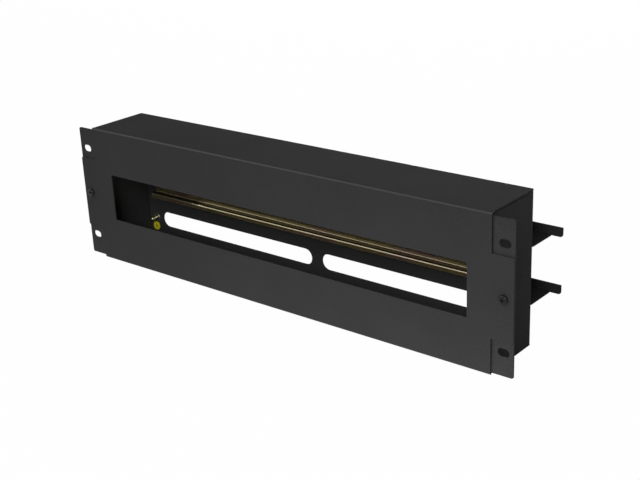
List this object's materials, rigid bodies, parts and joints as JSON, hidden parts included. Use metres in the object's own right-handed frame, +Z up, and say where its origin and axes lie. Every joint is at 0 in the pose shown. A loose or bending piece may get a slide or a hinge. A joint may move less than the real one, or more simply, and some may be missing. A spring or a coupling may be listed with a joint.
{
  "type": "rack power distribution panel",
  "caption": "Black sheet-steel panel for a 19 inch rack, with a wide window before a DIN rail, slotted ears, cable slots and turned-up cable arms at the back.",
  "frame": {"origin": "middle of the four rack slots, on the rear face of the ears", "axes": "+X right as seen from the front, +Y to the back, +Z up"},
  "size_m": [0.4826, 0.1014, 0.1334],
  "materials": {
    "cover_paint": "fine textured black powder coat",
    "chassis_paint": "fine textured black powder coat",
    "arm_paint": "fine textured black powder coat",
    "black_screw": "satin black",
    "rail_steel": "zinc with a yellow passivation",
    "zinc_steel": "bright zinc",
    "stud_steel": "zinc with a yellow passivation",
    "label_yellow": "matt label film"
  },
  "bodies": {
    "root": {"cable_arm_lower_left": "arm_paint", "cable_arm_lower_right": "arm_paint", "cable_arm_upper_left": "arm_paint", "cable_arm_upper_right": "arm_paint", "cover_nut_left": "zinc_steel", "cover_nut_right": "zinc_steel", "cover_screw_left": "black_screw", "cover_screw_right": "black_screw", "din_rail": "rail_steel", "earth_label": "label_yellow", "earth_stud": "stud_steel", "earth_washer": "zinc_steel", "front_cover": "cover_paint", "rail_nut_left": "zinc_steel", "rail_nut_middle": "zinc_steel", "rail_nut_right": "zinc_steel", "rail_screw_left": "zinc_steel", "rail_screw_middle": "zinc_steel", "rail_screw_right": "zinc_steel", "rear_chassis": "chassis_paint"}
  },
  "joints": []
}
